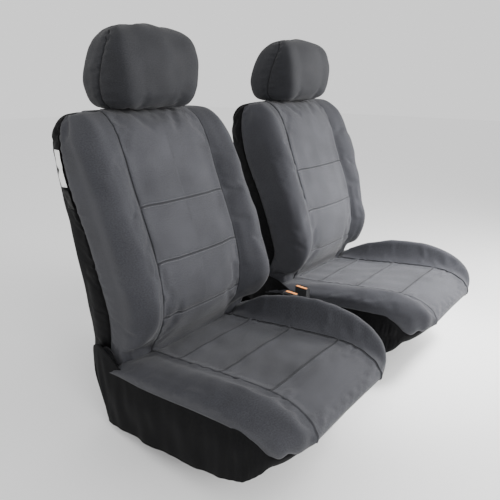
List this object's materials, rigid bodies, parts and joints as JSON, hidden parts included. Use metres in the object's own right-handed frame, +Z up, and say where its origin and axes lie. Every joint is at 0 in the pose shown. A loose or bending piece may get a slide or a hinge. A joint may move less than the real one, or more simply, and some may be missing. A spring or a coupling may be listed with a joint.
{
  "type": "seat cover set",
  "caption": "Front bucket seats in a fitted cover set: charcoal cloth faces, black side cloth and skirts; backs recline, seats slide, headrests lift.",
  "frame": {"origin": "on the floor, midway between the two seats, at the middle of the set's depth", "axes": "+X to the passenger seat (the driver's seat is at -X), +Y to the rear, +Z up; the seats face -Y"},
  "size_m": [1.2282, 0.7927, 1.0997],
  "materials": {
    "charcoal_cloth": "matte",
    "panel_cloth": "matte",
    "black_cloth": "matte",
    "webbing": "matte",
    "foam": "matte",
    "painted_steel": "satin",
    "bare_steel": "satin",
    "chrome_steel": "polished",
    "black_plastic": "satin",
    "orange_plastic": "gloss",
    "label_cloth": "matte"
  },
  "bodies": {
    "floor_rails": {"driver_lower_rails": "painted_steel", "passenger_lower_rails": "painted_steel"},
    "driver_seat": {"driver_upper_rails": "bare_steel", "driver_cushion_frame": "painted_steel", "driver_cushion_springs": "bare_steel", "driver_cushion_foam": "foam", "driver_cushion_centre_cover": "panel_cloth", "driver_cushion_bolster_cover": "charcoal_cloth", "driver_skirt": "black_cloth", "driver_tie_straps": "webbing", "driver_strap_buckles": "black_plastic", "driver_recline_pivots": "bare_steel", "driver_buckle_anchor": "bare_steel"},
    "driver_backrest": {"driver_back_frame": "painted_steel", "driver_back_springs": "bare_steel", "driver_back_foam": "foam", "driver_back_centre_cover": "panel_cloth", "driver_back_bolster_cover": "charcoal_cloth", "driver_back_side_panels": "black_cloth", "driver_back_rear_panel": "black_cloth", "driver_sewn_labels": "label_cloth", "driver_headrest_guides": "black_plastic"},
    "driver_headrest": {"driver_headrest_posts": "chrome_steel", "driver_headrest_foam": "foam", "driver_headrest_cover": "charcoal_cloth"},
    "driver_post_lock": {"driver_guide_button": "black_plastic"},
    "driver_seat_release": {"driver_release_bar": "bare_steel"},
    "driver_recliner_lever": {"driver_recline_lever": "black_plastic"},
    "driver_buckle": {"driver_buckle_stalk": "black_plastic", "driver_buckle_housing": "black_plastic"},
    "driver_press_button": {"driver_buckle_button": "orange_plastic"},
    "passenger_seat": {"passenger_upper_rails": "bare_steel", "passenger_cushion_frame": "painted_steel", "passenger_cushion_springs": "bare_steel", "passenger_cushion_foam": "foam", "passenger_cushion_centre_cover": "panel_cloth", "passenger_cushion_bolster_cover": "charcoal_cloth", "passenger_skirt": "black_cloth", "passenger_tie_straps": "webbing", "passenger_strap_buckles": "black_plastic", "passenger_recline_pivots": "bare_steel", "passenger_buckle_anchor": "bare_steel"},
    "passenger_backrest": {"passenger_back_frame": "painted_steel", "passenger_back_springs": "bare_steel", "passenger_back_foam": "foam", "passenger_back_centre_cover": "panel_cloth", "passenger_back_bolster_cover": "charcoal_cloth", "passenger_back_side_panels": "black_cloth", "passenger_back_rear_panel": "black_cloth", "passenger_sewn_labels": "label_cloth", "passenger_headrest_guides": "black_plastic"},
    "passenger_headrest": {"passenger_headrest_posts": "chrome_steel", "passenger_headrest_foam": "foam", "passenger_headrest_cover": "charcoal_cloth"},
    "passenger_post_lock": {"passenger_guide_button": "black_plastic"},
    "passenger_seat_release": {"passenger_release_bar": "bare_steel"},
    "passenger_recliner_lever": {"passenger_recline_lever": "black_plastic"},
    "passenger_buckle": {"passenger_buckle_stalk": "black_plastic", "passenger_buckle_housing": "black_plastic"},
    "passenger_press_button": {"passenger_buckle_button": "orange_plastic"}
  },
  "joints": [
    {"name": "driver_seat_slide", "type": "slide", "parent": "floor_rails", "child": "driver_seat", "axis": [0, -1, 0], "range_m": [-0.03, 0.12]},
    {"name": "driver_recline", "type": "hinge", "parent": "driver_seat", "child": "driver_backrest", "pos_m": [-0.35, 0.239, 0.22], "axis": [-1, 0, 0], "range_deg": [0, 38]},
    {"name": "driver_headrest_slide", "type": "slide", "parent": "driver_backrest", "child": "driver_headrest", "axis": [0, 0.1392, 0.9903], "range_m": [0, 0.06]},
    {"name": "driver_post_lock_press", "type": "slide", "parent": "driver_backrest", "child": "driver_post_lock", "axis": [1, 0, 0], "range_m": [0, 0.0015], "stiffness_N_per_m": 400, "springref_m": -0.001},
    {"name": "driver_release_lift", "type": "hinge", "parent": "driver_seat", "child": "driver_seat_release", "pos_m": [-0.35, -0.045, 0.074], "axis": [-1, 0, 0], "range_deg": [0, 12], "stiffness_Nm_per_rad": 6, "springref_deg": -5.73},
    {"name": "driver_lever_lift", "type": "hinge", "parent": "driver_seat", "child": "driver_recliner_lever", "pos_m": [-0.6, 0.239, 0.22], "axis": [-1, 0, 0], "range_deg": [0, 10], "stiffness_Nm_per_rad": 3, "springref_deg": -5.73},
    {"name": "driver_buckle_swing", "type": "hinge", "parent": "driver_seat", "child": "driver_buckle", "pos_m": [-0.08, 0.121, 0.13], "axis": [1, 0, 0], "range_deg": [-30, 25]},
    {"name": "driver_buckle_press", "type": "slide", "parent": "driver_buckle", "child": "driver_press_button", "axis": [0, 0, -1], "range_m": [0, 0.003], "stiffness_N_per_m": 600, "springref_m": -0.001},
    {"name": "passenger_seat_slide", "type": "slide", "parent": "floor_rails", "child": "passenger_seat", "axis": [0, -1, 0], "range_m": [-0.03, 0.12]},
    {"name": "passenger_recline", "type": "hinge", "parent": "passenger_seat", "child": "passenger_backrest", "pos_m": [0.35, 0.239, 0.22], "axis": [-1, 0, 0], "range_deg": [0, 38]},
    {"name": "passenger_headrest_slide", "type": "slide", "parent": "passenger_backrest", "child": "passenger_headrest", "axis": [0, 0.1392, 0.9903], "range_m": [0, 0.06]},
    {"name": "passenger_post_lock_press", "type": "slide", "parent": "passenger_backrest", "child": "passenger_post_lock", "axis": [-1, 0, 0], "range_m": [0, 0.0015], "stiffness_N_per_m": 400, "springref_m": -0.001},
    {"name": "passenger_release_lift", "type": "hinge", "parent": "passenger_seat", "child": "passenger_seat_release", "pos_m": [0.35, -0.045, 0.074], "axis": [-1, 0, 0], "range_deg": [0, 12], "stiffness_Nm_per_rad": 6, "springref_deg": -5.73},
    {"name": "passenger_lever_lift", "type": "hinge", "parent": "passenger_seat", "child": "passenger_recliner_lever", "pos_m": [0.6, 0.239, 0.22], "axis": [-1, 0, 0], "range_deg": [0, 10], "stiffness_Nm_per_rad": 3, "springref_deg": -5.73},
    {"name": "passenger_buckle_swing", "type": "hinge", "parent": "passenger_seat", "child": "passenger_buckle", "pos_m": [0.08, 0.121, 0.13], "axis": [1, 0, 0], "range_deg": [-30, 25]},
    {"name": "passenger_buckle_press", "type": "slide", "parent": "passenger_buckle", "child": "passenger_press_button", "axis": [0, 0, -1], "range_m": [0, 0.003], "stiffness_N_per_m": 600, "springref_m": -0.001}
  ]
}
